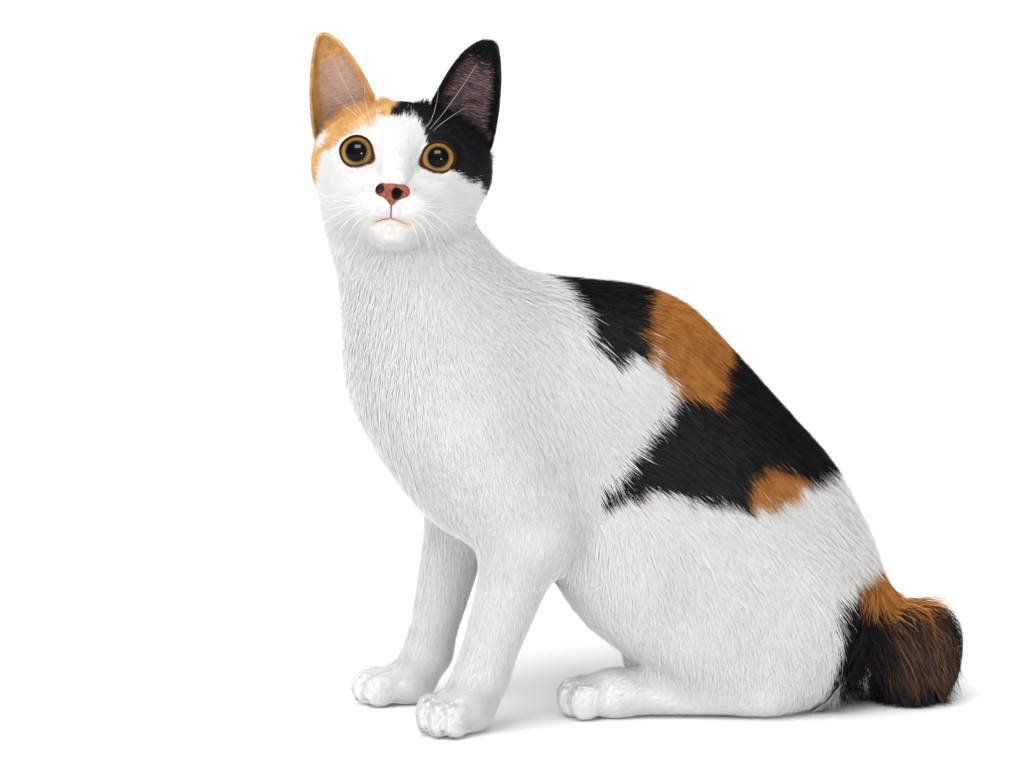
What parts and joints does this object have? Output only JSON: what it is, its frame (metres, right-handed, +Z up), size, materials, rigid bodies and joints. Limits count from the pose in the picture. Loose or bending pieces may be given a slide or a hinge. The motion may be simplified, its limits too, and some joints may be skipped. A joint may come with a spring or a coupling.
{
  "type": "japanese bobtail cat",
  "caption": "Still life-size model of a short-haired bobtail cat sitting on its haunches, forelegs straight, head turned to its left and looking up.",
  "frame": {"origin": "on the floor, in the middle of the model's footprint", "axes": "+Z up, -Y the way the hind feet point, +X the cat's left side, which the face looks toward"},
  "size_m": [0.194, 0.3512, 0.3631],
  "materials": {
    "coat_white": "short soft white fur with patches of black and orange",
    "tail_fur": "longer loose black fur with orange at the root and tips",
    "ear_black": "very short black fur, dark reddish skin inside",
    "ear_orange": "very short orange fur, pink skin inside",
    "eye": "amber iris under a clear wet cornea",
    "nose": "moist pink grained skin",
    "whisker": "stiff clear white hair"
  },
  "bodies": {
    "root": {"head": "coat_white", "neck": "coat_white", "trunk": "coat_white", "tail": "tail_fur", "ear_left": "ear_black", "ear_right": "ear_orange", "eye_left": "eye", "eye_right": "eye", "foreleg_left": "coat_white", "foreleg_right": "coat_white", "forepaw_left": "coat_white", "forepaw_right": "coat_white", "thigh_left": "coat_white", "thigh_right": "coat_white", "hindfoot_left": "coat_white", "hindfoot_right": "coat_white"}
  },
  "joints": []
}
